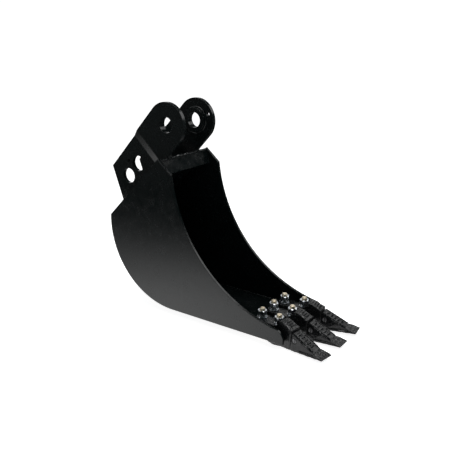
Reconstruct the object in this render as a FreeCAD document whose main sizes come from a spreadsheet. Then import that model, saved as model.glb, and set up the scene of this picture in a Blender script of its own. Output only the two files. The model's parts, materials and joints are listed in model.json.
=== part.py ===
"""Trenching bucket for a small excavator, built up from plate, castings and fasteners.

Frame: the origin is on the axis of the dipper pin, midway between the ears.
+X points to the tooth tips, +Y to the left side plate and +Z up. Lengths are in
millimetres, and the flat bottom of the bucket is level.
"""
import FreeCAD, Part
import math
import os
import re
import Sketcher

DIMENSIONS = [
    # shell
    ("shell_width", 228.6, "over the outer faces of the side plates, nine inches"),
    ("side_thickness", 8.0, "side plate"),
    ("wrapper_thickness", 6.0, "bent plate that forms the back, heel and floor"),
    ("weld_land", 3.0, "how far the side plates stand proud of the wrapper"),
    ("pin_height", 533.3, "dipper pin above the flat bottom"),
    ("heel_ahead", 41.5, "centre of the heel curve, ahead of the pin"),
    ("heel_radius", 235.0, "outer radius of the heel"),
    ("flat_angle", 44.5, "slope of the flat back, in degrees"),
    ("flat_reach", 177.0, "flat back from the centre of the heel"),
    ("flat_rise", 118.5, "upper end of the flat back, along it from the foot of that reach"),
    ("mouth_ahead", 463.6, "centre of the mouth curve, ahead of the pin"),
    ("mouth_drop", 83.0, "centre of the mouth curve, below the pin"),
    ("mouth_radius", 417.6, "radius of the mouth curve"),
    ("brow_drop", 128.3, "upper end of the mouth curve, below the pin"),
    ("nose_ahead", 417.5, "front edge of the side plates"),
    ("nose_round", 26.0, "rounded upper corner of that edge"),
    # cross bar at the top of the mouth
    ("bar_thickness", 16.0, "cross bar"),
    ("bar_blank_height", 60.0, "cross bar before its top is trimmed"),
    ("bar_foot_ahead", 14.5, "lower front edge of the bar, ahead of the pin"),
    ("bar_foot_drop", 135.8, "lower front edge of the bar, below the pin"),
    ("bar_tilt", 19.9, "lean of the bar from upright, in degrees"),
    # cutting edge
    ("lip_thickness", 19.0, "cutting edge plate"),
    ("lip_back", 277.5, "rear edge of the cutting edge plate, ahead of the pin"),
    # ears
    ("ear_thickness", 12.0, "ear plate"),
    ("ear_radius", 64.0, "round end, and half the width of the ear"),
    ("ear_angle", 46.4, "slope of the line through the pin holes, in degrees"),
    ("ear_gap_top", 123.0, "between the ears at the dipper pin"),
    ("ear_gap_base", 105.0, "between the ears at the link pins"),
    ("joggle_place", 105.6, "middle of the offset bend, from the dipper pin"),
    ("joggle_run", 26.0, "length of the offset bend along the ear"),
    ("ear_corner", 258.5, "outer rear corner, along the ear from the dipper pin"),
    ("ear_toe", 328.5, "inner rear corner of the blank, along the ear"),
    ("ear_depth", 80.0, "inner edge of the blank, from the line through the pin holes"),
    ("pin_bore", 45.0, "bore for the dipper pin and for both link pins"),
    ("link_far", 229.0, "dipper pin to the far link pin"),
    ("link_near", 171.0, "dipper pin to the near link pin"),
    ("boss_diameter", 73.0, "ring welded round the dipper pin bore"),
    ("boss_height", 10.0, "thickness of that ring"),
    ("keeper_bore", 11.0, "hole for a pin keeper bolt"),
    ("pin_keeper_ahead", 44.5, "keeper hole of the dipper pin, ahead of it"),
    ("pin_keeper_rise", 19.0, "keeper hole of the dipper pin, above it"),
    ("link_keeper_back", 156.5, "keeper hole of the far link pin, behind the dipper pin"),
    ("link_keeper_drop", 120.5, "keeper hole of the far link pin, below the dipper pin"),
    # teeth: distances along a tooth start at its rear bolt, heights at the flat bottom
    ("tooth_ahead", 319.5, "rear bolts, ahead of the pin"),
    ("tooth_pitch", 59.3, "between neighbouring rear bolts"),
    ("tooth_splay", 9.0, "outward turn of the two outer teeth, in degrees"),
    ("bolt_spacing", 60.3, "between the two bolts of a tooth, 2-3/8 inch"),
    ("crotch_place", 94.0, "where the shank meets the front of the cutting edge"),
    ("strap_tail", 22.0, "end of the upper leg behind the rear bolt, and its half width"),
    ("tail_flat", 8.8, "half the flat end of that leg"),
    ("tail_chamfer", 6.0, "chamfer over that end"),
    ("seat_height", 34.0, "washer seats on the upper leg"),
    ("seat_front", 1.0, "front end of the seat, ahead of the front bolt"),
    ("rise_place", 5.0, "top of the step in front of the seat, ahead of the front bolt"),
    ("rise_drop", 6.0, "top of that step, below the top of the shank"),
    ("hump_start", 14.0, "rear end of the flat top, ahead of the front bolt"),
    ("hump_end", 31.0, "front end of the flat top, behind the shoulder"),
    ("bend_place", 22.0, "first bend of the slope ahead of it, behind the shoulder"),
    ("bend_drop", 3.5, "first bend, below the top of the shank"),
    ("fall_place", 13.0, "second bend of that slope, behind the shoulder"),
    ("fall_drop", 8.0, "second bend, below the top of the shank"),
    ("hump_height", 51.5, "top of the shank"),
    ("hump_half_width", 16.0, "half the width of the shank at its top"),
    ("shoulder_place", 117.0, "shoulder that the point seats against"),
    ("shoulder_height", 37.5, "top of the shank at the shoulder"),
    ("jaw_depth", 21.0, "boss of the lower leg under the front bolt, below the flat bottom"),
    ("boss_rear", 7.0, "flat of that boss, behind the front bolt"),
    ("boss_front", 5.0, "flat of that boss, ahead of the front bolt"),
    ("boss_end", 22.0, "end of the slope ahead of it, ahead of the front bolt"),
    ("jaw_slope", 12.6, "length of the chamfer at the rear end of the lower leg"),
    ("jaw_step", 17.85, "depth of that chamfer"),
    ("sole_depth", 17.5, "lower leg ahead of that boss, below the flat bottom"),
    ("shoulder_drop", 16.0, "underside of the shank and point where they meet"),
    ("jaw_start", 26.0, "rear end of the lower leg"),
    ("nose_half_width", 12.0, "tongue inside the point, at the shoulder"),
    ("nose_tip_half", 9.0, "tongue inside the point, at its end"),
    ("nose_length", 48.0, "tongue inside the point"),
    ("nose_top", 27.0, "top of the tongue at the shoulder"),
    ("nose_taper", 2.0, "rise of the underside of the tongue over its length"),
    ("socket_clearance", 0.6, "play between tongue and socket"),
    ("point_tip", 219.0, "end of the point"),
    ("point_notch", 187.0, "where the point starts to flare"),
    ("tip_width", 47.0, "cutting width of the point"),
    ("tip_drop", 9.5, "underside of the tip, below the flat bottom"),
    ("tip_thickness", 3.0, "end of the point"),
    ("notch_height", 1.0, "top of the point where the flare starts"),
    ("notch_inset", 6.5, "narrowing of the point there, on each side"),
    ("flare_bend", 6.0, "bend of the flare, ahead of where it starts"),
    ("flare_inset", 3.5, "narrowing of the point at that bend, on each side"),
    ("flare_run", 20.0, "length of the flare, and of the straight rear end"),
    ("waist_inset", 1.5, "narrowing at the end of the straight rear end, on each side"),
    ("flank_inset", 8.0, "narrowing of the point over its height, on each side"),
    ("flank_lift", 1.0, "lower limit of the narrowed outline, above the underside of the tip"),
    ("sole_lift", 2.0, "top of the full width sole, above the underside of the tip"),
    ("rear_drop", 6.0, "top of the point at its rear end, below the shank's shoulder"),
    ("rear_chamfer", 3.0, "chamfer of that end"),
    ("flex_pin_place", 128.0, "pin that holds the point"),
    ("flex_pin_height", 13.0, "pin that holds the point"),
    ("flex_pin_diameter", 12.0, "pin that holds the point"),
    ("flex_pin_length", 38.0, "pin that holds the point"),
    ("rubber_thickness", 3.0, "rubber strip in the middle of that pin"),
    # fasteners
    ("bolt_diameter", 15.9, "5/8 inch plow bolt"),
    ("bolt_clearance", 17.5, "bolt holes"),
    ("bolt_top", 62.0, "end of every bolt above the flat bottom"),
    ("head_diameter", 30.0, "countersunk head of the plow bolt"),
    ("head_depth", 9.0, "countersunk head of the plow bolt"),
    ("washer_diameter", 29.0, "flat washer"),
    ("washer_thickness", 3.0, "flat washer"),
    ("lock_diameter", 26.0, "split lock washer"),
    ("lock_thickness", 4.0, "split lock washer"),
    ("lock_gap", 2.0, "cut through the split lock washer"),
    ("washer_clearance", 0.6, "play of both washers round the bolt"),
    ("nut_flats", 23.8, "nut across flats, 15/16 inch"),
    ("nut_height", 14.0, "nut"),
    ("wrench_bore", 36.0, "counterbore over the front bolt"),
]

SIDES = {"right": -1, "left": 1}
TEETH = {"right": -1, "center": 0, "left": 1}
SPACE_SIZE = 500  # blocks that trim the ears and the bar, larger than either

doc = FreeCAD.newDocument("TrenchingBucket")
sheet = doc.addObject("Spreadsheet::Sheet", "Sizes")
for row, (alias, number, meaning) in enumerate(DIMENSIONS, start=1):
    sheet.set(f"A{row}", meaning)
    sheet.set(f"B{row}", str(number))
    sheet.setAlias(f"B{row}", alias)
doc.recompute()

nodes = []


# ---------------------------------------------------------------- helpers

def linked(formula):
    """A formula of dimension names, as an expression on the sheet."""
    return re.sub(r"[a-z]+(?:_[a-z]+)+", lambda name: "Sizes." + name.group(), str(formula))


def value(formula):
    """The number that a formula gives now."""
    return float(sheet.evalExpression(linked(formula)))


def bind(thing, formulas):
    """Bind properties of an object to formulas."""
    for path, formula in formulas.items():
        thing.setExpression(path, linked(formula))
    return thing


def place(thing, x="0", y="0", z="0", axis=None, turn="0"):
    """Bind the placement: a shift and, with an axis, a turn in degrees about it."""
    if axis is not None:
        thing.Placement = FreeCAD.Placement(FreeCAD.Vector(), FreeCAD.Rotation(axis, value(turn)))
        bind(thing, {"Placement.Rotation.Angle": turn})
    return bind(thing, {"Placement.Base.x": x, "Placement.Base.y": y, "Placement.Base.z": z})


def node(thing, label):
    """Give a finished sub-part the label that names its file."""
    thing.Label = label
    nodes.append(thing)
    return thing


def combine(kind, name, base, *tools):
    """Part::Cut, Part::MultiFuse or Part::MultiCommon of a base and its tools."""
    result = doc.addObject("Part::" + kind, name)
    if kind == "Cut":
        result.Base = base
        result.Tool = tools[0] if len(tools) == 1 else combine("MultiFuse", name + "_tools", *tools)
    else:
        result.Shapes = [base, *tools]
    return result


def box(name, length, width, height):
    solid = doc.addObject("Part::Box", name)
    return bind(solid, {"Length": length, "Width": width, "Height": height})


def cylinder(name, radius, height):
    solid = doc.addObject("Part::Cylinder", name)
    return bind(solid, {"Radius": radius, "Height": height})


def cross_cylinder(name, radius, x, z, length):
    """A cylinder along Y, centred on Y = 0."""
    solid = cylinder(name, radius, length)
    return place(solid, x, f"({length}) / 2", z, FreeCAD.Vector(1, 0, 0), "90")


def cone(name, lower, upper, height):
    solid = doc.addObject("Part::Cone", name)
    return bind(solid, {"Radius1": lower, "Radius2": upper, "Height": height})


def arc_between(start, end, radius, clockwise):
    """The shorter arc of a radius from start to end, as counterclockwise geometry."""
    middle = (start + end) / 2
    chord = end - start
    away = FreeCAD.Vector(-chord.y, chord.x, 0).normalize()
    depth = math.sqrt(radius ** 2 - (chord.Length / 2) ** 2)
    centre = middle + away * (-depth if clockwise else depth)
    first, last = (end, start) if clockwise else (start, end)
    circle = Part.Circle(centre, FreeCAD.Vector(0, 0, 1), radius)
    return Part.ArcOfCircle(circle, circle.parameter(first), circle.parameter(last))


def profile_body(name, plane, corners, depth, arcs=None):
    """A body with one padded outline.

    corners are pairs of formulas in the plane's own axes. arcs maps the number of a
    corner to (radius formula, clockwise) for a round edge from that corner to the next.
    """
    arcs = arcs or {}
    body = doc.addObject("PartDesign::Body", name)
    sketch = body.newObject("Sketcher::SketchObject", name + "_outline")
    origin_plane = [feature for feature in body.Origin.OriginFeatures if feature.Role == plane]
    sketch.AttachmentSupport = (origin_plane[0], [""])
    sketch.MapMode = "FlatFace"
    points = [FreeCAD.Vector(value(across), value(up), 0) for across, up in corners]
    count = len(points)
    ends = []
    for number, start in enumerate(points):
        end = points[(number + 1) % count]
        clockwise = False
        if number in arcs:
            radius, clockwise = arcs[number]
            sketch.addGeometry(arc_between(start, end, value(radius), clockwise), False)
        else:
            sketch.addGeometry(Part.LineSegment(start, end), False)
        ends.append((2, 1) if clockwise else (1, 2))
    for number, (across, up) in enumerate(corners):
        following = (number + 1) % count
        join = ("Coincident", number, ends[number][1], following, ends[following][0])
        sketch.addConstraint(Sketcher.Constraint(*join))
        for kind, formula in (("DistanceX", across), ("DistanceY", up)):
            distance = Sketcher.Constraint(kind, -1, 1, number, ends[number][0], value(formula))
            constraint = sketch.addConstraint(distance)
            sketch.setExpression(f"Constraints[{constraint}]", linked(formula))
        if number in arcs:
            radius = arcs[number][0]
            constraint = sketch.addConstraint(Sketcher.Constraint("Radius", number, value(radius)))
            sketch.setExpression(f"Constraints[{constraint}]", linked(radius))
    pad = body.newObject("PartDesign::Pad", name + "_pad")
    pad.Profile = sketch
    bind(pad, {"Length": depth})
    sketch.Visibility = False
    return body


def mirrored(corners):
    """An outline that is symmetric about its first axis, from its upper half."""
    return corners + [(across, f"-({up})") for across, up in reversed(corners)]


# ---------------------------------------------------------------- shell

HEEL_DROP = "(pin_height - heel_radius)"
CAVITY_HALF = "(shell_width / 2 - side_thickness)"
FRONT_OF_LIP = "(tooth_ahead + crotch_place)"


def flat_back(inset, along):
    """A point by its depth under the edge of the flat back and its place along the back."""
    reach = f"(flat_reach - ({inset}))"
    return (f"heel_ahead - {reach} * sin(flat_angle) + ({along}) * cos(flat_angle)",
            f"{reach} * cos(flat_angle) + ({along}) * sin(flat_angle) - {HEEL_DROP}")


def back_corner(inset):
    """Where the flat back meets the heel curve, at a depth under the outer edge."""
    return flat_back(inset, f"-sqrt((heel_radius - ({inset})) ^ 2 - (flat_reach - ({inset})) ^ 2)")


def make_side_plate(side, sign):
    fillet_x = "(nose_ahead - nose_round)"
    reach = "(mouth_radius + nose_round)"
    fillet_fall = f"sqrt({reach} ^ 2 - (mouth_ahead - {fillet_x}) ^ 2)"
    share = f"mouth_radius / {reach}"
    brow_fall = "(brow_drop - mouth_drop)"
    corners = [
        ("heel_ahead", "-pin_height"),
        ("nose_ahead", "-pin_height"),
        ("nose_ahead", f"-mouth_drop - {fillet_fall}"),
        (f"mouth_ahead - (mouth_ahead - {fillet_x}) * {share}",
         f"-mouth_drop - {fillet_fall} * {share}"),
        (f"mouth_ahead - sqrt(mouth_radius ^ 2 - {brow_fall} ^ 2)", "-brow_drop"),
        flat_back("0", "flat_rise"),
        back_corner("0"),
    ]
    arcs = {2: ("nose_round", False), 3: ("mouth_radius", True), 6: ("heel_radius", False)}
    plate = profile_body(f"side_{side}", "XZ_Plane", corners, "side_thickness", arcs)
    outer_half = "shell_width / 2" if sign > 0 else f"-{CAVITY_HALF}"
    place(plate, y=outer_half)
    node(plate, f"side_plate_{side}")


def make_bar_blank(name):
    """The cross bar before its top is trimmed; its lower front edge is the reference."""
    blank = box(name, "bar_thickness", f"2 * {CAVITY_HALF}", "bar_blank_height")
    return place(blank, "bar_foot_ahead - bar_thickness * cos(bar_tilt)", f"-{CAVITY_HALF}",
                 "-bar_foot_drop - bar_thickness * sin(bar_tilt)", FreeCAD.Vector(0, 1, 0),
                 "-bar_tilt")


def make_space(name, above):
    """A large block above or below the outer face of the wrapper's flat back."""
    block = box(name, str(2 * SPACE_SIZE), str(SPACE_SIZE), str(SPACE_SIZE))
    face_x, face_z = flat_back("weld_land", "0")
    drop = 0 if above else SPACE_SIZE
    return place(block, f"{face_x} - {SPACE_SIZE} * cos(flat_angle) + {drop} * sin(flat_angle)",
                 str(-SPACE_SIZE / 2),
                 f"{face_z} - {SPACE_SIZE} * sin(flat_angle) - {drop} * cos(flat_angle)",
                 FreeCAD.Vector(0, 1, 0), "-flat_angle")


def make_top_bar():
    bar = combine("Cut", "bar_trimmed", make_bar_blank("bar_blank"), make_space("outside", True))
    node(bar, "top_bar")


def make_wrapper():
    outer = "weld_land"
    inner = "(weld_land + wrapper_thickness)"
    top_end = "(flat_rise - bar_thickness - weld_land)"
    corners = [
        ("heel_ahead", f"{outer} - pin_height"),
        ("lip_back", f"{outer} - pin_height"),
        ("lip_back", f"{inner} - pin_height"),
        ("heel_ahead", f"{inner} - pin_height"),
        back_corner(inner),
        flat_back(inner, top_end),
        flat_back(outer, top_end),
        back_corner(outer),
    ]
    arcs = {3: (f"heel_radius - {inner}", True), 7: (f"heel_radius - {outer}", False)}
    sheet_metal = profile_body("wrapper_bend", "XZ_Plane", corners, f"2 * {CAVITY_HALF}", arcs)
    place(sheet_metal, y=CAVITY_HALF)
    node(combine("Cut", "wrapper_fitted", sheet_metal, make_bar_blank("bar_clearance")), "wrapper")


# ---------------------------------------------------------------- cutting edge

def tooth_place(thing, sign, x="0", z="0"):
    """Move something from a tooth's own axes, which start at its rear bolt."""
    turn = f"{sign} * tooth_splay"
    return place(thing, f"tooth_ahead + ({x}) * cos({turn})",
                 f"{sign} * tooth_pitch + ({x}) * sin({turn})", f"({z}) - pin_height",
                 FreeCAD.Vector(0, 0, 1), turn)


def make_cutting_edge():
    break_y = "(tooth_pitch + crotch_place * tan(tooth_splay / 2))"
    corners = mirrored([
        ("lip_back", CAVITY_HALF),
        (f"{FRONT_OF_LIP} - ({CAVITY_HALF} - {break_y}) * tan(tooth_splay)", CAVITY_HALF),
        (FRONT_OF_LIP, break_y),
    ])
    plate = profile_body("lip_plate", "XY_Plane", corners, "lip_thickness")
    place(plate, z="-pin_height")
    holes = []
    for tooth, sign in TEETH.items():
        for row, along in (("rear", "0"), ("front", "bolt_spacing")):
            hole = cylinder(f"lip_hole_{row}_{tooth}", "bolt_clearance / 2", "lip_thickness")
            holes.append(tooth_place(hole, sign, along))
        sink = cone(f"lip_sink_{tooth}", "head_diameter / 2", "bolt_diameter / 2", "head_depth")
        holes.append(tooth_place(sink, sign))
    node(combine("Cut", "lip_drilled", plate, *holes), "cutting_edge")


# ---------------------------------------------------------------- ears

def make_ear(side, sign):
    along = FreeCAD.Vector(0, 1, 0)
    blank_corners = [
        ("0", "-ear_radius"),
        ("0", "ear_radius"),
        ("-ear_corner", "ear_radius"),
        ("-ear_toe", "-ear_depth"),
        ("-ear_radius", "-ear_depth"),
        ("-ear_radius", "-ear_radius"),
    ]
    blank = profile_body(f"ear_strip_{side}", "XZ_Plane", blank_corners, "ear_gap_top")
    place(blank, y="ear_gap_top" if sign > 0 else "0", axis=along, turn="-ear_angle")
    round_end = cross_cylinder(f"ear_round_{side}", "ear_radius", "0", "0", "2 * ear_gap_top")
    blank = combine("MultiFuse", f"ear_blank_{side}", blank, round_end)

    top_inner = "ear_gap_top / 2"
    base_inner = "ear_gap_base / 2"
    bend_start = "(joggle_place - joggle_run / 2)"
    bend_end = "(joggle_place + joggle_run / 2)"
    section = [
        ("2 * ear_radius", top_inner),
        ("2 * ear_radius", f"{top_inner} + ear_thickness"),
        (f"-{bend_start}", f"{top_inner} + ear_thickness"),
        (f"-{bend_end}", f"{base_inner} + ear_thickness"),
        ("-2 * ear_toe", f"{base_inner} + ear_thickness"),
        ("-2 * ear_toe", base_inner),
        (f"-{bend_end}", base_inner),
        (f"-{bend_start}", top_inner),
    ]
    section = [(place_along, f"{sign} * ({offset})") for place_along, offset in section]
    slab_height = "4 * ear_radius"
    slab = profile_body(f"ear_slab_{side}", "XY_Plane", section, slab_height)
    place(slab, "2 * ear_radius * sin(ear_angle)", "0", "-2 * ear_radius * cos(ear_angle)", along,
          "-ear_angle")
    bent = combine("MultiCommon", f"ear_bent_{side}", blank, slab)

    cuts = [make_space(f"inside_{side}", False)]
    for pin, distance in (("dipper", "0"), ("far_link", "link_far"), ("near_link", "link_near")):
        cuts.append(cross_cylinder(f"{pin}_bore_{side}", "pin_bore / 2",
                                   f"-({distance}) * cos(ear_angle)",
                                   f"-({distance}) * sin(ear_angle)", "2 * ear_gap_top"))
    if side == "left":
        keeper = ("pin_keeper_ahead", "pin_keeper_rise")
    else:
        keeper = ("-link_keeper_back", "-link_keeper_drop")
    cuts.append(cross_cylinder(f"keeper_bore_{side}", "keeper_bore / 2", *keeper, "2 * ear_gap_top"))
    node(combine("Cut", f"ear_finished_{side}", bent, *cuts), f"ear_{side}")


def make_boss(side, sign):
    ring = cylinder(f"boss_ring_{side}", "boss_diameter / 2", "boss_height")
    bore = cylinder(f"boss_bore_{side}", "pin_bore / 2", "boss_height")
    boss = combine("Cut", f"boss_{side}", ring, bore)
    place(boss, y=f"{sign} * ear_gap_top / 2", axis=FreeCAD.Vector(1, 0, 0), turn=str(90 * sign))
    node(boss, f"pin_boss_{side}")


# ---------------------------------------------------------------- teeth

def wedge(name, play):
    """The tapered tongue of the shank, larger all round by the play."""
    solid = doc.addObject("Part::Wedge", name)
    bind(solid, {
        "Xmin": f"-nose_half_width - {play}", "Xmax": f"nose_half_width + {play}",
        "Zmin": f"-sole_depth / 2 - {play}", "Zmax": f"nose_top + {play}",
        "X2min": f"-nose_tip_half - {play}", "X2max": f"nose_tip_half + {play}",
        "Z2min": f"-sole_depth / 2 + nose_taper - {play}", "Z2max": f"sole_depth / 4 + {play}",
        "Ymin": "0", "Ymax": f"nose_length + {play}",
    })
    return place(solid, "shoulder_place", axis=FreeCAD.Vector(0, 0, 1), turn="-90")


def flex_pin_hole(name):
    return cross_cylinder(name, "flex_pin_diameter / 2", "flex_pin_place", "flex_pin_height",
                          "2 * tip_width")


def make_shank(tooth, sign):
    side_corners = [
        ("-strap_tail", "lip_thickness"),
        ("crotch_place", "lip_thickness"),
        ("crotch_place", "0"),
        ("jaw_start", "0"),
        ("jaw_start + jaw_slope", "-jaw_step"),
        ("bolt_spacing - boss_rear", "-jaw_depth"),
        ("bolt_spacing + boss_front", "-jaw_depth"),
        ("bolt_spacing + boss_end", "-sole_depth"),
        ("shoulder_place", "-shoulder_drop"),
        ("shoulder_place", "shoulder_height"),
        ("shoulder_place - fall_place", "hump_height - fall_drop"),
        ("shoulder_place - bend_place", "hump_height - bend_drop"),
        ("shoulder_place - hump_end", "hump_height"),
        ("bolt_spacing + hump_start", "hump_height"),
        ("bolt_spacing + rise_place", "hump_height - rise_drop"),
        ("bolt_spacing + seat_front", "seat_height"),
        ("-strap_tail + tail_chamfer", "seat_height"),
        ("-strap_tail", "seat_height - tail_chamfer"),
    ]
    side_view = profile_body(f"shank_side_{tooth}", "XZ_Plane", side_corners, "4 * strap_tail")
    place(side_view, y="2 * strap_tail")
    plan_corners = [
        ("0", "-strap_tail"),
        ("shoulder_place", "-strap_tail"),
        ("shoulder_place", "strap_tail"),
        ("0", "strap_tail"),
        ("-strap_tail", "tail_flat"),
        ("-strap_tail", "-tail_flat"),
    ]
    plan_view = profile_body(f"shank_plan_{tooth}", "XY_Plane", plan_corners, "4 * hump_height")
    place(plan_view, z="-2 * hump_height")
    section = mirrored([
        ("-jaw_depth", "strap_tail"),
        ("lip_thickness", "strap_tail"),
        ("hump_height", "hump_half_width"),
    ])
    end_view = profile_body(f"shank_end_{tooth}", "YZ_Plane",
                            [(across, up) for up, across in section], "4 * shoulder_place")
    place(end_view, "-2 * shoulder_place")
    casting = combine("MultiCommon", f"shank_block_{tooth}", side_view, plan_view, end_view)
    casting = combine("MultiFuse", f"shank_casting_{tooth}", casting, wedge(f"tongue_{tooth}", "0"))

    cuts = [flex_pin_hole(f"shank_pin_hole_{tooth}")]
    for row, along in (("rear", "0"), ("front", "bolt_spacing")):
        hole = cylinder(f"shank_hole_{row}_{tooth}", "bolt_clearance / 2", "4 * hump_height")
        cuts.append(place(hole, along, z="-2 * hump_height"))
    recess = cylinder(f"wrench_recess_{tooth}", "wrench_bore / 2", "hump_height")
    cuts.append(place(recess, "bolt_spacing", z="seat_height"))
    sink = cone(f"jaw_sink_{tooth}", "head_diameter / 2", "bolt_diameter / 2", "head_depth")
    cuts.append(place(sink, "bolt_spacing", z="-jaw_depth"))
    shank = combine("Cut", f"shank_{tooth}", casting, *cuts)
    node(tooth_place(shank, sign), f"tooth_shank_{tooth}")


def make_point(tooth, sign):
    side_corners = [
        ("shoulder_place", "-shoulder_drop"),
        ("point_tip", "-tip_drop"),
        ("point_tip", "-tip_drop + tip_thickness"),
        ("point_notch", "notch_height"),
        ("shoulder_place + rear_chamfer", "shoulder_height - rear_drop"),
        ("shoulder_place", "shoulder_height - rear_drop - rear_chamfer"),
    ]
    side_view = profile_body(f"point_side_{tooth}", "XZ_Plane", side_corners, "2 * tip_width")
    place(side_view, y="tip_width")
    plan_corners = mirrored([
        ("shoulder_place", "tip_width / 2"),
        ("shoulder_place + flare_run", "tip_width / 2 - waist_inset"),
        ("point_notch", "tip_width / 2 - notch_inset"),
        ("point_notch + flare_bend", "tip_width / 2 - flare_inset"),
        ("point_notch + flare_run", "tip_width / 2"),
        ("point_tip", "tip_width / 2"),
    ])
    notched = profile_body(f"point_plan_{tooth}", "XY_Plane", plan_corners, "2 * hump_height")
    sole = box(f"point_sole_{tooth}", "point_tip", "tip_width", "sole_depth")
    place(sole, y="-tip_width / 2", z="sole_lift - tip_drop - sole_depth")
    plan_view = combine("MultiFuse", f"point_outline_{tooth}",
                        place(notched, z="flank_lift - tip_drop"), sole)
    section = mirrored([
        ("-sole_depth", "tip_width / 2"),
        ("shoulder_height", "tip_width / 2 - flank_inset"),
    ])
    end_view = profile_body(f"point_end_{tooth}", "YZ_Plane",
                            [(across, up) for up, across in section], "2 * point_tip")
    block = combine("MultiCommon", f"point_block_{tooth}", side_view, plan_view, end_view)
    point = combine("Cut", f"point_{tooth}", block, wedge(f"socket_{tooth}", "socket_clearance"),
                    flex_pin_hole(f"point_pin_hole_{tooth}"))
    node(tooth_place(point, sign), f"tooth_point_{tooth}")


def make_flex_pin(tooth, sign):
    """Two half-round steel bars with a rubber strip bonded between them."""
    def pin_bar(name):
        return cross_cylinder(name, "flex_pin_diameter / 2", "flex_pin_place", "flex_pin_height",
                              "flex_pin_length")

    def strip(name):
        solid = box(name, "rubber_thickness", "2 * flex_pin_length", "2 * flex_pin_diameter")
        return place(solid, "flex_pin_place - rubber_thickness / 2", "-flex_pin_length",
                     "flex_pin_height - flex_pin_diameter")

    bars = combine("Cut", f"pin_bars_{tooth}", pin_bar(f"bar_round_{tooth}"),
                   strip(f"bar_gap_{tooth}"))
    rubber = combine("MultiCommon", f"pin_strip_{tooth}", pin_bar(f"strip_round_{tooth}"),
                     strip(f"strip_flat_{tooth}"))
    node(tooth_place(bars, sign), f"flex_pin_{tooth}")
    node(tooth_place(rubber, sign), f"flex_pin_rubber_{tooth}")


# ---------------------------------------------------------------- fasteners

def ring(name, outer, inner, height):
    outside = cylinder(name + "_outside", outer, height)
    inside = cylinder(name + "_inside", inner, height)
    return combine("Cut", name, outside, inside)


def make_fasteners(tooth, sign, row, along, head_height):
    """Plow bolt, flat washer, split lock washer and nut at one bolt hole."""
    where = f"{row}_{tooth}"
    head = cone(f"head_{where}", "head_diameter / 2", "bolt_diameter / 2", "head_depth")
    shaft = cylinder(f"shaft_{where}", "bolt_diameter / 2", f"bolt_top - ({head_height})")
    bolt = combine("MultiFuse", f"bolt_{where}", head, shaft)
    node(tooth_place(bolt, sign, along, head_height), f"plow_bolt_{where}")

    hole = "bolt_diameter / 2 + washer_clearance"
    washer = ring(f"washer_{where}", "washer_diameter / 2", hole, "washer_thickness")
    node(tooth_place(washer, sign, along, "seat_height"), f"flat_washer_{where}")

    coil = ring(f"coil_{where}", "lock_diameter / 2", hole, "lock_thickness")
    split = box(f"split_{where}", "lock_diameter", "lock_gap", "lock_thickness")
    spring = combine("Cut", f"lock_{where}", coil, split)
    lock_height = "seat_height + washer_thickness"
    node(tooth_place(spring, sign, along, lock_height), f"lock_washer_{where}")

    hexagon = doc.addObject("Part::Prism", f"hexagon_{where}")
    bind(hexagon, {"Circumradius": "nut_flats / 2 / cos(30)", "Height": "nut_height"})
    thread = cylinder(f"thread_{where}", "bolt_diameter / 2", "nut_height")
    nut = combine("Cut", f"nut_{where}", hexagon, thread)
    node(tooth_place(nut, sign, along, f"{lock_height} + lock_thickness"), f"hex_nut_{where}")


# ---------------------------------------------------------------- assembly

make_wrapper()
make_top_bar()
make_cutting_edge()
for side, sign in SIDES.items():
    make_side_plate(side, sign)
    make_ear(side, sign)
    make_boss(side, sign)
for tooth, sign in TEETH.items():
    make_shank(tooth, sign)
    make_point(tooth, sign)
    make_flex_pin(tooth, sign)
    make_fasteners(tooth, sign, "rear", "0", "0")
    make_fasteners(tooth, sign, "front", "bolt_spacing", "-jaw_depth")
doc.recompute()

faults = [f"{thing.Label}: {thing.State}" for thing in doc.Objects
          if "Invalid" in thing.State or "Error" in thing.State]
faults += [f"{thing.Label}: bad shape" for thing in nodes
           if thing.Shape.isNull() or not thing.Shape.isValid() or not thing.Shape.Solids]
if faults:
    raise RuntimeError("\n".join(faults))

os.makedirs("parts", exist_ok=True)
for thing in nodes:
    thing.Shape.exportStep(f"parts/{thing.Label}.step")
    limits = thing.Shape.BoundBox
    print(f"{thing.Label}: {len(thing.Shape.Solids)} solid, {thing.Shape.Volume / 1000:.1f} cm3, "
          f"x {limits.XMin:.1f} to {limits.XMax:.1f}, y {limits.YMin:.1f} to {limits.YMax:.1f}, "
          f"z {limits.ZMin:.1f} to {limits.ZMax:.1f}")
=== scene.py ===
"""The looks of the trenching bucket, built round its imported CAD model."""

import itertools
import json
import math
import random

import bmesh
import bpy
from mathutils import Matrix, Vector, noise


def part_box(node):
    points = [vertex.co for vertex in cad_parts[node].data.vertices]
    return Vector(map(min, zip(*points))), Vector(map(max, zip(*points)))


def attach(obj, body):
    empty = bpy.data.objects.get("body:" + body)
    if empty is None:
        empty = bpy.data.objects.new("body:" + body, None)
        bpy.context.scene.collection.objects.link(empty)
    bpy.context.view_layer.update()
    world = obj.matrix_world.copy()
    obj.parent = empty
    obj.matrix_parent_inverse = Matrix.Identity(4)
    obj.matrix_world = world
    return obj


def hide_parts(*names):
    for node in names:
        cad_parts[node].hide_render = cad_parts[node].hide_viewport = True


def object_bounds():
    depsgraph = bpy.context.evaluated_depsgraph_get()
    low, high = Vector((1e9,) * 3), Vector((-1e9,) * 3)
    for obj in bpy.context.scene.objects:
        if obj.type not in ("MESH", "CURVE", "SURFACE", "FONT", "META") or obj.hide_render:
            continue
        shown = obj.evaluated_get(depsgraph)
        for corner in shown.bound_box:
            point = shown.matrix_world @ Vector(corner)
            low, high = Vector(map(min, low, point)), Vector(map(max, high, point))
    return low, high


MM = 0.001
MERGE_DISTANCE = 1e-5
TEETH = ("right", "center", "left")
ROWS = ("rear", "front")
SIDES = {"right": -1, "left": 1}  # with the sign of Y on that side

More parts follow.
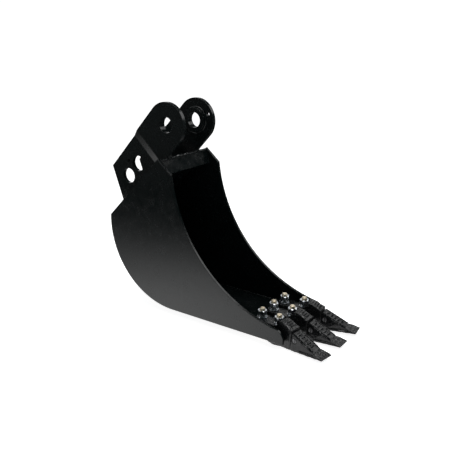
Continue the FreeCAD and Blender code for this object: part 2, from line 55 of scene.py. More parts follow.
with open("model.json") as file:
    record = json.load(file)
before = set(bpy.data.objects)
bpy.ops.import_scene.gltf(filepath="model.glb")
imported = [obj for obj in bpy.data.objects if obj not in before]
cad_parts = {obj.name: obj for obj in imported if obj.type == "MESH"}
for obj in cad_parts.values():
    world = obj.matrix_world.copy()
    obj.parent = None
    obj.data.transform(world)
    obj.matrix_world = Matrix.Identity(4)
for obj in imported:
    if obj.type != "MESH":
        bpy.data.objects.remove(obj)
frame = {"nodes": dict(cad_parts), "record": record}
nodes = frame["nodes"]
cad_low, cad_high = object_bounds()
floor_level = cad_low.z
chance = random.Random(7)

# ---------------------------------------------------------------- node trees


def empty_material(name):
    """A material without nodes, and its node tree."""
    made = bpy.data.materials.new(name)
    made.use_nodes = True
    made.node_tree.nodes.clear()
    return made, made.node_tree


def add(tree, kind, *links, values=None, **properties):
    """Add a shader node. links are (socket, source), and values are the fixed sockets."""
    made = tree.nodes.new("ShaderNode" + kind)
    for key, value in properties.items():
        setattr(made, key, value)
    for socket, value in (values or {}).items():
        made.inputs[socket].default_value = value
    for socket, source in links:
        tree.links.new(source, made.inputs[socket])
    return made


def noise_of(tree, place, scale, detail=3.0, rough=0.5):
    """A cloudy pattern. scale is in clouds per metre."""
    return add(tree, "TexNoise", ("Vector", place),
               values={"Scale": scale, "Detail": detail, "Roughness": rough}).outputs[0]


def spread(tree, source, low, high, from_low=0.35, from_high=0.65):
    """Map values between from_low and from_high to values between low and high."""
    return add(tree, "MapRange", ("Value", source),
               values={"From Min": from_low, "From Max": from_high,
                       "To Min": low, "To Max": high}).outputs[0]


def blend_colours(tree, factor, first, second):
    """Mix two colours. Each is an RGB tuple or the output of a node."""
    made = add(tree, "Mix", ("Factor", factor), data_type="RGBA")
    colours = [s for s in made.inputs if s.type == "RGBA"]
    for socket, colour in zip(colours, (first, second)):
        if isinstance(colour, tuple):
            socket.default_value = (*colour, 1)
        else:
            tree.links.new(colour, socket)
    return [s for s in made.outputs if s.type == "RGBA"][0]


def bumps(tree, *layers):
    """Stack bump layers of (height, depth in metres, strength)."""
    normal = None
    for height, depth, strength in layers:
        made = add(tree, "Bump", ("Height", height),
                   values={"Distance": depth, "Strength": strength})
        if normal is not None:
            tree.links.new(normal, made.inputs["Normal"])
        normal = made.outputs[0]
    return normal


def surface(tree, colour, roughness, normal, metallic=0.0):
    """Finish a material with a principled shader."""
    shader = add(tree, "BsdfPrincipled", ("Base Color", colour), ("Roughness", roughness),
                 ("Normal", normal), values={"Metallic": metallic})
    add(tree, "OutputMaterial", ("Surface", shader.outputs[0]))


def glow_paint(name, strength):
    """A material that glows evenly."""
    made, tree = empty_material(name)
    glow = add(tree, "Emission", values={"Strength": strength})
    add(tree, "OutputMaterial", ("Surface", glow.outputs[0]))
    return made


def maths(tree, operation, *operands):
    """A maths node. Each operand is a number or the output of a node."""
    made = add(tree, "Math", operation=operation)
    for socket, operand in zip(made.inputs, operands):
        if isinstance(operand, (int, float)):
            socket.default_value = operand
        else:
            tree.links.new(operand, socket)
    return made.outputs[0]


def distance_on_floor(tree, centre, reach):
    """Distance from a point of the floor, in units of a reach along each axis."""
    place = add(tree, "TexCoord").outputs["Object"]
    mapping = add(tree, "Mapping", ("Vector", place),
                  values={"Scale": (1 / reach[0], 1 / reach[1], 0),
                          "Location": (-centre[0] / reach[0], -centre[1] / reach[1], 0)})
    return add(tree, "VectorMath", (0, mapping.outputs[0]), operation="LENGTH").outputs["Value"]


# ---------------------------------------------------------------- finishes


def gloss_paint():
    """Sprayed black enamel over rolled plate: orange peel, slow waves, faint dust, and a painted
    teal reflection tint.
    """
    made, tree = empty_material("black_paint")
    place = add(tree, "TexCoord").outputs["Object"]
    cloud = noise_of(tree, place, 14, 4)
    dust = noise_of(tree, place, 900, 2)
    # The near-black, varying at random, is the enamel's own colour. The teal tint in both colours
    # is a painted reflection of a dark bluish surround.
    base = blend_colours(tree, cloud, (0.0014, 0.0030, 0.0030), (0.0036, 0.0050, 0.0052))
    colour = blend_colours(tree, spread(tree, dust, 0, 0.5, 0.68, 0.8), base,
                           (0.012, 0.012, 0.012))
    roughness = spread(tree, noise_of(tree, place, 35, 5, 0.65), 0.13, 0.3)
    normal = bumps(tree, (noise_of(tree, place, 9, 1), 0.004, 0.12),
                   (noise_of(tree, place, 260, 2), 0.0003, 0.12))
    surface(tree, colour, roughness, normal)
    return made


def cast_paint():
    """The same black over a sand casting: pitted, duller, lighter on the high spots of the grain.
    """
    made, tree = empty_material("cast_paint")
    place = add(tree, "TexCoord").outputs["Object"]
    grain = noise_of(tree, place, 420, 5, 0.7)
    lumps = noise_of(tree, place, 120, 3)
    base = blend_colours(tree, lumps, (0.003, 0.0036, 0.004), (0.008, 0.0084, 0.009))
    colour = blend_colours(tree, spread(tree, grain, 0, 0.7, 0.6, 0.75), base, (0.06, 0.06, 0.062))
    roughness = spread(tree, grain, 0.15, 0.34)
    normal = bumps(tree, (lumps, 0.0012, 0.5), (grain, 0.0005, 0.5))
    surface(tree, colour, roughness, normal)
    return made


def plated(name, first, second, low, high):
    """Zinc plate: metallic, clouded, with fine grain."""
    made, tree = empty_material(name)
    place = add(tree, "TexCoord").outputs["Object"]
    cloud = noise_of(tree, place, 160, 4)
    grain = noise_of(tree, place, 1500, 3)
    colour = blend_colours(tree, spread(tree, cloud, 0, 1, 0.38, 0.62), first, second)
    roughness = spread(tree, cloud, low, high)
    surface(tree, colour, roughness, bumps(tree, (grain, 0.0002, 0.25)), metallic=1.0)
    return made


def bonded_rubber():
    """Dull black rubber with a fine grain."""
    made, tree = empty_material("pin_rubber")
    place = add(tree, "TexCoord").outputs["Object"]
    grain = noise_of(tree, place, 900, 4)
    colour = blend_colours(tree, grain, (0.010, 0.010, 0.010), (0.028, 0.028, 0.028))
    surface(tree, colour, spread(tree, grain, 0.55, 0.8), bumps(tree, (grain, 0.0003, 0.4)))
    return made


finishes = {
    "black_paint": gloss_paint(),
    "cast_steel": cast_paint(),
    "yellow_zinc": plated("yellow_zinc", (0.96, 0.80, 0.58), (0.92, 0.84, 0.68), 0.28, 0.46),
    "bright_zinc": plated("bright_zinc", (0.84, 0.87, 0.90), (0.70, 0.74, 0.78), 0.18, 0.36),
    "pin_steel": plated("pin_steel", (0.30, 0.30, 0.31), (0.14, 0.14, 0.145), 0.3, 0.5),
    "pin_rubber": bonded_rubber(),
}

# ---------------------------------------------------------------- mesh helpers


def new_object(name, data):
    """An object in the scene."""
    made = bpy.data.objects.new(name, data)
    bpy.context.scene.collection.objects.link(made)
    return made


def shade_smooth(mesh):
    for face in mesh.polygons:
        face.use_smooth = True


def mesh_of(name, shape):
    """A mesh made from a bmesh, which is freed."""
    mesh = bpy.data.meshes.new(name)
    shape.to_mesh(mesh)
    shape.free()
    return mesh


def both_sides(low, high):
    """The sides by name, each with the Y of a box's end on that side."""
    return ("right", low.y), ("left", high.y)


def piece(name, mesh, slot, *stands_for):
    """A finished mesh as a piece of the object."""
    made = new_object(name, mesh)
    mesh.materials.clear()
    mesh.materials.append(finishes[slot])
    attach(made, "root")
    if stands_for:
        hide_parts(*stands_for)
    return made


def skin(name, rings, looped=False):
    """A mesh over rings of points, all as long, with flat ends unless it is looped."""
    mesh = bpy.data.meshes.new(name)
    count = len(rings[0])
    faces = []
    for ring in range(len(rings) if looped else len(rings) - 1):
        here, there = ring * count, (ring + 1) % len(rings) * count
        for side in range(count):
            following = (side + 1) % count
            faces.append((here + side, here + following, there + following, there + side))
    if not looped:
        faces.append(tuple(reversed(range(count))))
        faces.append(tuple(range((len(rings) - 1) * count, len(rings) * count)))
    mesh.from_pydata([tuple(point) for ring in rings for point in ring], [], faces)
    shape = bmesh.new()
    shape.from_mesh(mesh)
    bmesh.ops.recalc_face_normals(shape, faces=shape.faces)
    shape.to_mesh(mesh)
    shape.free()
    shade_smooth(mesh)
    return mesh


def circle(centre, radius, across, up, count):
    """Points round a centre, in the plane of two directions."""
    return [centre + radius * (math.cos(turn) * across + math.sin(turn) * up)
            for turn in (2 * math.pi * step / count for step in range(count))]


def evenly(points, step, looped=False):
    """Points at even steps along a path."""
    corners = points + [points[0]] if looped else points
    lengths = [(b - a).length for a, b in zip(corners, corners[1:])]
    total = sum(lengths)
    count = max(2, round(total / step))
    placed, at, passed = [], 0, 0.0
    for number in range(count if looped else count + 1):
        want = total * number / count
        while at < len(lengths) - 1 and passed + lengths[at] < want:
            passed += lengths[at]
            at += 1
        share = (want - passed) / lengths[at] if lengths[at] else 0
        placed.append(corners[at].lerp(corners[at + 1], min(1, share)))
    return placed


WELD_STEP = 0.8 * MM
WELD_SIDES = 12
RIPPLE_DEPTH = 0.10
RIPPLE_BOW = 0.45
SMALLEST_END = 0.02


def weld(name, path, radius, outward, looped=False, ripple=3.2 * MM, uneven=0.12):
    """A weld bead along a path: a round body with curved ripples that bow to one end.

    outward is the way that the bead faces, or a function of the point that gives it.
    """
    path = evenly(path, WELD_STEP, looped)
    count = len(path)
    bow = RIPPLE_BOW * radius
    rings = []
    seed = Vector((chance.random() * 50, 0, 0))
    for number, point in enumerate(path):
        ahead = path[(number + 1) % count] if looped else path[min(number + 1, count - 1)]
        behind = path[number - 1] if looped or number else path[0]
        along = (ahead - behind).normalized()
        out = outward(point) if callable(outward) else outward
        out = (out - out.project(along)).normalized()
        side = along.cross(out)
        wave = 0.5 + 0.5 * math.cos(2 * math.pi * number * WELD_STEP / ripple)
        size = radius * (1 + RIPPLE_DEPTH * (wave ** 2 - 0.5)
                         + uneven * noise.noise(seed + Vector((number * WELD_STEP * 90, 0, 0))))
        if not looped:
            ends = min(number, count - 1 - number) * WELD_STEP / radius
            size *= math.sqrt(max(SMALLEST_END, 1 - max(0, 1 - ends) ** 2))
        drift = uneven * radius * noise.noise(seed + Vector((0, number * WELD_STEP * 60, 0)))
        ring = circle(point + side * drift, size, out, side, WELD_SIDES)
        rings.append([p + along * bow * ((p - point).dot(out) / size - 0.4) for p in ring])
    piece(name, skin(name, rings, looped=looped), "black_paint")


def flat_faces(node, direction, level=None, slack=0.2 * MM):
    """Outlines of the faces of a CAD node that look one way, as loops, longest first."""
    shape = bmesh.new()
    shape.from_mesh(nodes[node].data)
    bmesh.ops.remove_doubles(shape, verts=shape.verts, dist=MERGE_DISTANCE)
    wanted = [f for f in shape.faces if f.normal.dot(direction) > 0.999
              and (level is None or abs(f.calc_center_median().dot(direction) - level) < slack)]
    chosen = set(wanted)
    rim = {}
    for face in wanted:
        for loop in face.loops:
            if not any(other in chosen for other in loop.edge.link_faces if other is not face):
                rim[loop.vert.co.copy().freeze()] = loop.link_loop_next.vert.co.copy().freeze()
    outlines = []
    while rim:
        start, following = rim.popitem()
        outline = [Vector(start)]
        while following in rim:
            outline.append(Vector(following))
            following = rim.pop(following)
        outlines.append(outline)
    shape.free()
    return sorted(outlines, key=lambda o: -sum((b - a).length for a, b in zip(o, o[1:])))


# ---------------------------------------------------------------- plates


PLATE_FLATNESS = math.radians(0.5)
PLATE_EDGE_ANGLE = math.radians(15)  # less than the bends of the ears, so that they show
PIN_EDGE = 0.5 * MM


def dress_plate(name, edge=0.9 * MM):
    """Round the edges of a CAD plate a little, so that they catch the light."""
    plate = nodes[name]
    shade_smooth(plate.data)
    weld_points = plate.modifiers.new("weld", "WELD")
    weld_points.merge_threshold = MERGE_DISTANCE
    flatten = plate.modifiers.new("flatten", "DECIMATE")
    flatten.decimate_type = "DISSOLVE"
    flatten.angle_limit = PLATE_FLATNESS
    round_off = plate.modifiers.new("edge", "BEVEL")
    round_off.width = edge
    round_off.segments = 3
    round_off.limit_method = "ANGLE"
    round_off.angle_limit = PLATE_EDGE_ANGLE
    plate.modifiers.new("shade", "WEIGHTED_NORMAL")


PLATES = ("wrapper", "top_bar", "cutting_edge", "side_plate_right", "side_plate_left", "ear_right",
          "ear_left", "pin_boss_right", "pin_boss_left")
for row in frame["record"]["subparts"]:
    node = nodes[row["node"]]
    node.data.materials.clear()
    node.data.materials.append(finishes[row["material_slot"]])
for name in PLATES:
    dress_plate(name)
for tooth in TEETH:
    dress_plate(f"flex_pin_{tooth}", PIN_EDGE)

# ---------------------------------------------------------------- welds


def corner(node, direction):
    """The point of a CAD node that lies furthest in a direction."""
    return max((v.co for v in nodes[node].data.vertices), key=lambda p: p.dot(Vector(direction)))


DROP_SIZES = (0.7, 1.7)  # millimetres
DROP_SQUASH = (0.6, 0.9)
TACK_COUNT = 3
TACK_SPACING = 7
TACK_START = -4
TACK_ENDS = (-3.5, 3.5)
RING_WELD_POINTS = 180


def spatter(name, path, count, reach):
    """Small drops of weld metal thrown along a path."""
    shape = bmesh.new()
    for _ in range(count):
        base = chance.choice(path)
        shift = Vector([chance.uniform(-reach, reach) for _ in range(3)])
        size = chance.uniform(*DROP_SIZES) * MM
        squash = Matrix.Diagonal((size, size, size * chance.uniform(*DROP_SQUASH), 1))
        bmesh.ops.create_icosphere(shape, subdivisions=2, radius=1,
                                   matrix=Matrix.Translation(base + shift) @ squash)
    mesh = mesh_of(name, shape)
    shade_smooth(mesh)
    piece(name, mesh, "black_paint")


def wrapper_profile():
    """The outline of the wrapper's end: from the top down the outside, back up the inside."""
    outline = flat_faces("wrapper", Vector((0, -1, 0)), -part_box("wrapper")[0].y)[0]
    top = max(range(len(outline)), key=lambda i: outline[i].z)
    loop = outline[top:] + outline[:top]
    return loop if loop[1].x < loop[0].x else [loop[0]] + loop[:0:-1]


def weld_shell():
    """Seams between the wrapper and the side plates, inside and out."""
    low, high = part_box("wrapper")
    loop = wrapper_profile()
    foot = max(range(len(loop)), key=lambda i: (round(loop[i].x, 5), -loop[i].z))
    for place, profile in (("outer", loop[:foot + 1]), ("inner", loop[foot + 1:])):
        for side, y in both_sides(low, high):
            path = [Vector((p.x, y, p.z)) for p in profile]
            weld(f"weld_shell_{place}_{side}", path, 3.2 * MM, Vector((0, 1, 0)))


def weld_bar():
    """Seam along the top of the cross bar, lumps by the ears, and seams down its two ends."""
    low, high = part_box("top_bar")
    crest = corner("top_bar", (0, 0, 1))
    toe = corner("top_bar", (1, 0, 0))
    back = Vector((-0.5 * MM, 0, -1.5 * MM))
    path = [Vector((crest.x, y, crest.z)) + back for y in (low.y, high.y)]
    weld("weld_bar_top", path, 4.8 * MM, Vector((0.4, 0, 0.9)), ripple=5 * MM, uneven=0.4)
    face = [p + Vector((2.5 * MM, 0, 1.5 * MM)) for p in path]
    spatter("spatter_bar", evenly(face, 2 * MM), 34, 2.8 * MM)
    for side, sign in SIDES.items():
        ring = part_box(f"pin_boss_{side}")
        middle = sign * max(abs(ring[0].y), abs(ring[1].y))
        for number in range(TACK_COUNT):
            y = middle + sign * (number * TACK_SPACING + TACK_START) * MM
            ends = [Vector((crest.x + 1.5 * MM, y + shift * MM, crest.z + 1 * MM))
                    for shift in TACK_ENDS]
            weld(f"tack_{side}_{number}", ends, chance.uniform(3.6, 4.8) * MM,
                 Vector((1, 0, 0.6)), ripple=3 * MM, uneven=0.6)
    for side, y in both_sides(low, high):
        ends = [Vector((toe.x, y, toe.z)), Vector((crest.x, y, crest.z))]
        weld(f"weld_bar_{side}", ends, 3.4 * MM, Vector((1, 0, 0)))


def weld_ears():
    """Seams round the foot of each ear, open where the ear leaves the cross bar."""
    crest = corner("top_bar", (0, 0, 1))
    top, heel = wrapper_profile()[:2]
    facing = Vector((top.z - heel.z, 0, heel.x - top.x)).normalized()
    for side, sign in SIDES.items():
        outline = min(flat_faces(f"ear_{side}", facing), key=lambda o: min(p.z for p in o))
        reach = max(p.x for p in outline)
        first = next(i for i in range(len(outline))
                     if outline[i].x > reach - MM and outline[i - 1].x <= reach - MM)
        loop = outline[first:] + outline[:first]
        inner, outer, path = loop[0], loop[1], loop[2:]
        path = [inner.lerp(path[-1], (inner.z - crest.z) / (inner.z - path[-1].z))] + path[::-1]
        path.append(outer.lerp(path[-1], (outer.z - crest.z) / (outer.z - path[-1].z)))
        weld(f"weld_ear_{side}", path, 4.4 * MM, Vector((0, sign, 0.3)), ripple=4 * MM,
             uneven=0.2)
        spatter(f"spatter_ear_{side}", evenly(path[:1] + path[1:2], 3 * MM)[:8], 7, 5 * MM)


def weld_rings():
    """Seam round the ring on the inner face of each ear."""
    for side in SIDES:
        low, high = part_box(f"pin_boss_{side}")
        y = low.y if side == "right" else high.y
        radius = (high.x - low.x) / 2
        centre = Vector(((high.x + low.x) / 2, y, (high.z + low.z) / 2))
        path = circle(centre, radius + 0.5 * MM, Vector((1, 0, 0)), Vector((0, 0, 1)),
                      RING_WELD_POINTS)
        weld(f"weld_ring_{side}", path, 3.6 * MM,
             lambda p, centre=centre: p - centre, looped=True, ripple=4 * MM, uneven=0.25)
        spatter(f"spatter_ring_{side}", path, 16, 3.2 * MM)


WRAPPER_THICKNESS = 6 * MM
LIP_WELD_STOP = 30 * MM  # this far short of the front of the cutting edge


def weld_lip():
    """Seams that hold the cutting edge."""
    low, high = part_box("cutting_edge")
    inner_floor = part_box("wrapper")[0].z + WRAPPER_THICKNESS
    across = [Vector((low.x, y, inner_floor)) for y in (low.y, high.y)]
    weld("weld_lip_back", across, 4.6 * MM, Vector((-0.3, 0, 1)), ripple=4.5 * MM, uneven=0.2)
    below = [Vector((low.x, y, low.z + 2.2 * MM)) for y in (low.y, high.y)]
    weld("weld_lip_under", below, 2.6 * MM, Vector((0, 0, -1)))
    for side, y in both_sides(low, high):
        path = [Vector((x, y, high.z)) for x in (low.x, high.x - LIP_WELD_STOP)]
        weld(f"weld_lip_{side}", path, 3.4 * MM, Vector((0, 0, 1)))


weld_shell()
weld_bar()
weld_ears()
weld_rings()
weld_lip()

# ---------------------------------------------------------------- cast teeth

CAST_GRAIN = 1.35 * MM
CAST_WAVES = ((13 * MM, 1.0 * MM), (4.5 * MM, 1.0 * MM))  # size and depth
RIB_TAPER = 0.7
RIB_ROOT = -3


def tooth_axes(tooth):
    """The axes of a tooth: origin at its rear bolt on the flat bottom, X towards the tip."""
    rear, front = [sum(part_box(f"plow_bolt_{row}_{tooth}"), Vector()) / 2 for row in ROWS]
    along = Vector((front.x - rear.x, front.y - rear.y, 0)).normalized()
    turn = Matrix((along, Vector((-along.y, along.x, 0)), Vector((0, 0, 1)))).transposed()
    return Matrix.Translation((rear.x, rear.y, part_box("cutting_edge")[0].z)) @ turn.to_4x4()


def rib(shape, axes, start, end, side, half_width, rise):
    """A raised bar between two (along, height) points. All its measures are in millimetres."""
    first, last = [Vector((along, side, height)) for along, height in (start, end)]
    tops = []
    for place in (first, last):
        for across, lift in ((-1, rise), (1, rise), (1, RIB_ROOT), (-1, RIB_ROOT)):
            inset = RIB_TAPER if lift > 0 else 0
            width = half_width - inset
            tops.append(shape.verts.new(axes @ ((place + Vector((0, across * width, lift))) * MM)))
    near, far = tops[:4], tops[4:]
    shape.faces.new(near)
    shape.faces.new(far[::-1])
    for number in range(4):
        following = (number + 1) % 4
        shape.faces.new((near[following], near[number], far[number], far[following]))


def slope(profile, along):
    """Height of a top outline of (along, height) points at a place."""
    for (x0, z0), (x1, z1) in zip(profile, profile[1:]):
        if x0 <= along <= x1:
            return z0 + (z1 - z0) * (along - x0) / (x1 - x0)
    raise ValueError(along)


def casting(node, name, axes, profile, bars):
    """A CAD node with raised bars, recast as one rough, softened body.

    profile is its top outline. bars are (start, length, side, half width, rise).
    """
    shape = bmesh.new()
    shape.from_mesh(nodes[node].data)
    bmesh.ops.remove_doubles(shape, verts=shape.verts, dist=MERGE_DISTANCE)
    for start, length, side, half_width, rise in bars:
        ends = [(along, slope(profile, along)) for along in (start, start + length)]
        rib(shape, axes, *ends, side, half_width, rise)
    bmesh.ops.recalc_face_normals(shape, faces=shape.faces)
    made = piece(name, mesh_of(name, shape), "cast_steel", node)
    fuse = made.modifiers.new("fuse", "REMESH")
    fuse.mode = "VOXEL"
    fuse.voxel_size = CAST_GRAIN
    fuse.use_smooth_shade = True
    soften = made.modifiers.new("soften", "SMOOTH")
    soften.iterations = 3
    for scale, depth in CAST_WAVES:
        texture = bpy.data.textures.new(f"{name}_{scale:.3f}", "CLOUDS")
        texture.noise_scale = scale
        rough = made.modifiers.new("rough", "DISPLACE")
        rough.texture = texture
        rough.texture_coords = "GLOBAL"
        rough.strength = depth
        rough.mid_level = 0.5


# Millimetres in the tooth's axes: along from the rear bolt, and up from the flat bottom.
SHANK_TOP = [(74, 51.5), (86, 51.5), (95, 48), (104, 43.5), (117, 37.5)]
POINT_TOP = [(120, 31.5), (187, 1), (219, -6.5)]
SHANK_BARS = ([(start, 3, 0, 10, 2.6) for start in (77, 84, 91, 98, 105)]
              + [(76, 34, side, 1.6, 2.6) for side in (-12.8, 12.8)])
POINT_BARS = ([(122, 64, side, 1.7, 3.2) for side in (-14.0, 14.0)]
              + [(start, 5, 0, 7, 2.6) for start in (129, 139, 149, 159, 169)]
              + [(195, 4, side, 2.6, 2.2) for side in (-13, 0, 13)]
              + [(206, 4, side, 2.6, 2.2) for side in (-7, 7)])
for tooth in TEETH:
    axes = tooth_axes(tooth)
    casting(f"tooth_shank_{tooth}", f"shank_casting_{tooth}", axes, SHANK_TOP, SHANK_BARS)
    casting(f"tooth_point_{tooth}", f"point_casting_{tooth}", axes, POINT_TOP, POINT_BARS)

# ---------------------------------------------------------------- fasteners

NUT_FLATS = 23.8 * MM
SHAFT = 15.9 / 2 * MM  # radius
PITCH = 2.31 * MM
THREAD_DEPTH = 0.95 * MM
THREAD_STEPS = 6
BOLT_SIDES = 36
BOLT_CHAMFER = 1.8 * MM
HEAD_DEPTH = 9 * MM
HEAD_EDGE = 0.6 * MM
NECK_TOP = 12 * MM
NUT_SIDES = 72
WASHER_SIDES = 60
WASHER_SOFT = 0.5 * MM
LOCK_GAP = math.radians(9)
LOCK_SPRING = 0.7 * MM


def sharpen(mesh):
    """Shade flat across the mesh's sharp edges."""
    mesh.set_sharp_from_angle(angle=math.radians(32))
    return mesh


def ring_at(centre, height, count, radius):
    """Points round an upright axis. radius is a function of the angle."""
    points = []
    for number in range(count):
        turn = 2 * math.pi * number / count
        reach = radius(turn)
        points.append(Vector((centre.x + reach * math.cos(turn),
                              centre.y + reach * math.sin(turn), height)))
    return points


def make_bolt(where):
    """Plow bolt with a countersunk head and a threaded, chamfered end."""
    low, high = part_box(f"plow_bolt_{where}")
    centre = (low + high) / 2
    head = (high.x - low.x) / 2
    below = ((0, head - HEAD_EDGE), (HEAD_EDGE, head), (HEAD_DEPTH, SHAFT), (NECK_TOP, SHAFT))
    rings = [ring_at(centre, low.z + rise, BOLT_SIDES, lambda turn, r=r: r) for rise, r in below]
    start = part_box(f"lock_washer_{where}")[0].z
    for step in itertools.count():
        height = start + step * PITCH / THREAD_STEPS
        if height > high.z - 0.2 * MM:
            break
        inset = max(0.0, height - (high.z - BOLT_CHAMFER))

        def thread(turn, height=height, inset=inset):
            """Radius of the thread, or of the chamfer where that is deeper."""
            phase = (height / PITCH - turn / (2 * math.pi)) % 1
            return SHAFT - max(THREAD_DEPTH * (1 - abs(2 * phase - 1)), inset)

        rings.append(ring_at(centre, height, BOLT_SIDES, thread))
    end = SHAFT - BOLT_CHAMFER - 0.3 * MM
    rings.append(ring_at(centre, high.z, BOLT_SIDES, lambda turn: end))
    piece(f"bolt_{where}", sharpen(skin(f"bolt_{where}", rings)), "yellow_zinc",
          f"plow_bolt_{where}")


def make_nut(where):
    """Hexagon nut with both faces chamfered."""
    low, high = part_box(f"hex_nut_{where}")
    centre = (low + high) / 2
    spin = chance.uniform(0, math.pi / 3)
    bevel_at = NUT_FLATS / 2 * 0.985
    slant = math.tan(math.radians(30))

    def hexagon(turn):
        """Distance from the axis to the side of the nut."""
        part = (turn + spin) % (math.pi / 3) - math.pi / 6
        return NUT_FLATS / 2 / math.cos(part)

    rings = []
    for number in range(NUT_SIDES):
        turn = 2 * math.pi * number / NUT_SIDES
        way = Vector((math.cos(turn), math.sin(turn), 0))
        reach = hexagon(turn)
        drop = (reach - bevel_at) * slant + 0.15 * MM
        section = ((SHAFT, low.z + 0.6 * MM), (SHAFT + 0.7 * MM, low.z), (bevel_at, low.z),
                   (reach, low.z + drop), (reach, high.z - drop), (bevel_at, high.z),
                   (SHAFT + 0.9 * MM, high.z), (SHAFT, high.z - 0.8 * MM))
        rings.append([Vector((centre.x, centre.y, 0)) + way * r + Vector((0, 0, z))
                      for r, z in section])
    piece(f"nut_{where}", sharpen(skin(f"nut_{where}", rings, looped=True)), "bright_zinc",
          f"hex_nut_{where}")


def make_washer(where, kind):
    """Flat washer, or a split lock washer whose ends are sprung apart."""
    low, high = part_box(f"{kind}_washer_{where}")
    centre = (low + high) / 2
    outer, inner = (high.x - low.x) / 2, SHAFT + 0.6 * MM
    split = kind == "lock"
    soft = WASHER_SOFT
    gap = LOCK_GAP if split else 0
    rings = []
    for number in range(WASHER_SIDES):
        share = number / (WASHER_SIDES - 1 if split else WASHER_SIDES)
        turn = gap / 2 + (2 * math.pi - gap) * share
        way = Vector((math.cos(turn), math.sin(turn), 0))
        spring = (share - 0.5) * LOCK_SPRING if split else 0
        section = ((inner + soft, low.z), (outer - soft, low.z), (outer, low.z + soft),
                   (outer, high.z - soft), (outer - soft, high.z), (inner + soft, high.z),
                   (inner, high.z - soft), (inner, low.z + soft))
        rings.append([Vector((centre.x, centre.y, 0)) + way * r + Vector((0, 0, z + spring))
                      for r, z in section])
    name = f"{kind}_ring_{where}"
    piece(name, sharpen(skin(name, rings, looped=not split)), "bright_zinc",
          f"{kind}_washer_{where}")


for tooth in TEETH:
    for row in ROWS:
        make_bolt(f"{row}_{tooth}")
        make_nut(f"{row}_{tooth}")
        make_washer(f"{row}_{tooth}", "flat")
        make_washer(f"{row}_{tooth}", "lock")

# ---------------------------------------------------------------- camera, stage and light

LENS = 51.26
AZIMUTH, ELEVATION = math.radians(35.75), math.radians(17.48)
DISTANCE = 1.8196
BEHIND_MOUTH = 0.2582
FLOOR_HALF = 30
BACKDROP_RADIUS = 29
POOL_DROP = MM  # below the floor, so that the two don't fight
POOL_FAR = (0.02, 0.07, 1.6, 1.9)  # glow near and far, and the distances between which it grows
# Each patch of the pool: centre, reach along X and Y, and brightness.
POOL_PATCHES = (((0.05, -0.15), (0.65, 0.45), 1.45), ((-0.88, -0.30), (0.28, 0.28), 0.6))
# Each card: name, centre, width, height and strength.
GLOW_CARDS = (("back_card", (-1.3, 1.9, 0.20), 3.2, 1.3, 1.2),
              ("right_card", (1.05, 1.55, 0.98), 1.6, 0.8, 1.7),
              ("left_card", (-1.07, -1.11, 1.17), 1.3, 0.8, 1.5))

camera = new_object("camera", bpy.data.cameras.new("camera"))
bpy.context.scene.camera = camera
camera.data.lens = LENS
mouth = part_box("side_plate_right")[1].x
target = Vector((mouth - BEHIND_MOUTH, -0.0123, -0.2767))
backward = Vector((math.sin(AZIMUTH) * math.cos(ELEVATION),
                   -math.cos(AZIMUTH) * math.cos(ELEVATION), math.sin(ELEVATION)))
camera.location = target + DISTANCE * backward
camera.rotation_euler = (math.pi / 2 - ELEVATION, 0, AZIMUTH)
bpy.context.scene.view_settings.view_transform = "Standard"


def stage_mesh(name, corners):
    """A mesh of one face that stands round the object."""
    mesh = bpy.data.meshes.new(name)
    mesh.from_pydata(corners, [], [tuple(range(len(corners)))])
    made = new_object(name, mesh)
    return made


def floor_sheet(name, z):
    """A level square sheet round the origin."""
    ends = (-FLOOR_HALF, FLOOR_HALF)
    return stage_mesh(name, [(ends[x], ends[y], z) for x, y in ((0, 0), (1, 0), (1, 1), (0, 1))])


def only_for(thing, *rays):
    """Let only some kinds of ray see an object."""
    for ray in ("camera", "diffuse", "glossy", "transmission", "volume_scatter", "shadow"):
        setattr(thing, "visible_" + ray, ray in rays)


floor_paint, tree = empty_material("pale_floor")
diffuse = add(tree, "BsdfDiffuse", values={"Color": (0.8, 0.8, 0.8, 1)})
glow = add(tree, "Emission", values={"Strength": 0.90})
both = add(tree, "AddShader", (0, diffuse.outputs[0]), (1, glow.outputs[0]))
add(tree, "OutputMaterial", ("Surface", both.outputs[0]))
floor = floor_sheet("floor", floor_level)
floor.data.materials.append(floor_paint)
floor.visible_glossy = False

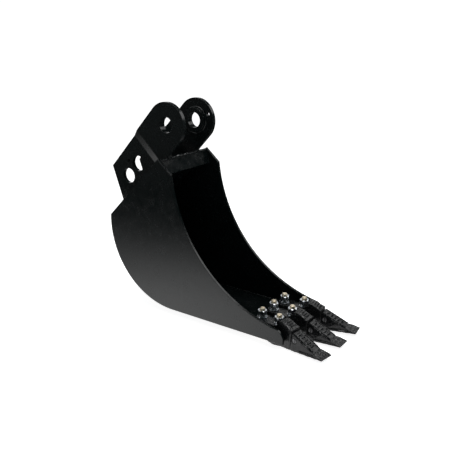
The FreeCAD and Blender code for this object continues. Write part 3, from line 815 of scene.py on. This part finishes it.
# What the gloss paint reflects in place of the floor: a pool of light, seen by nothing else.
pool_paint, tree = empty_material("light_pool")
total = spread(tree, distance_on_floor(tree, (0, 0), (1, 1)), *POOL_FAR)
for centre, reach, brightness in POOL_PATCHES:
    square = maths(tree, "POWER", distance_on_floor(tree, centre, reach), 2)
    fade = maths(tree, "EXPONENT", maths(tree, "MULTIPLY", square, -1))
    total = maths(tree, "MULTIPLY_ADD", fade, brightness, total)
glow = add(tree, "Emission", ("Strength", total))
add(tree, "OutputMaterial", ("Surface", glow.outputs[0]))
pool = floor_sheet("light_pool", floor_level - POOL_DROP)
pool.data.materials.append(pool_paint)
only_for(pool, "glossy")

world = bpy.data.worlds.new("studio")
bpy.context.scene.world = world
world.use_nodes = True
world.node_tree.nodes["Background"].inputs[0].default_value = (0.012, 0.020, 0.020, 1)

bpy.ops.mesh.primitive_uv_sphere_add(radius=BACKDROP_RADIUS, location=(0, 0, floor_level))
dome = bpy.context.object
dome.name = "backdrop"
dome.data.materials.append(glow_paint("white_wall", 1.05))
only_for(dome, "camera")


def glow_card(name, centre, width, height, strength):
    """A soft white card facing the bucket, seen only in reflections."""
    aim = (target - Vector(centre)).normalized()
    side = aim.cross(Vector((0, 0, 1))).normalized() * width / 2
    up = side.cross(aim).normalized() * height / 2
    middle = Vector(centre)
    made = stage_mesh(name, [middle - side - up, middle + side - up, middle + side + up,
                             middle - side + up])
    made.data.materials.append(glow_paint(name, strength))
    only_for(made, "glossy")


for card in GLOW_CARDS:
    glow_card(*card)


def lamp(name, kind, place, aim, power, size, **settings):
    """A light aimed at a point. size is the sides of an area, or the angle of a sun."""
    light = bpy.data.lights.new(name, kind)
    light.energy = power
    if kind == "AREA":
        light.shape = "RECTANGLE"
        light.size, light.size_y = size
    else:
        light.angle = size
    made = new_object(name, light)
    made.location = place
    made.rotation_euler = (Vector(aim) - Vector(place)).to_track_quat("-Z", "Y").to_euler()
    for key, value in settings.items():
        setattr(made, key, value)


lamp("fill", "SUN", (0.2, -0.1, 2), (0, 0, 0), 0.75, math.radians(120), visible_glossy=False)
lamp("top_light", "AREA", (0.3, 0.2, 1.9), (0.2, 0, -0.3), 30, (1.6, 1.2))
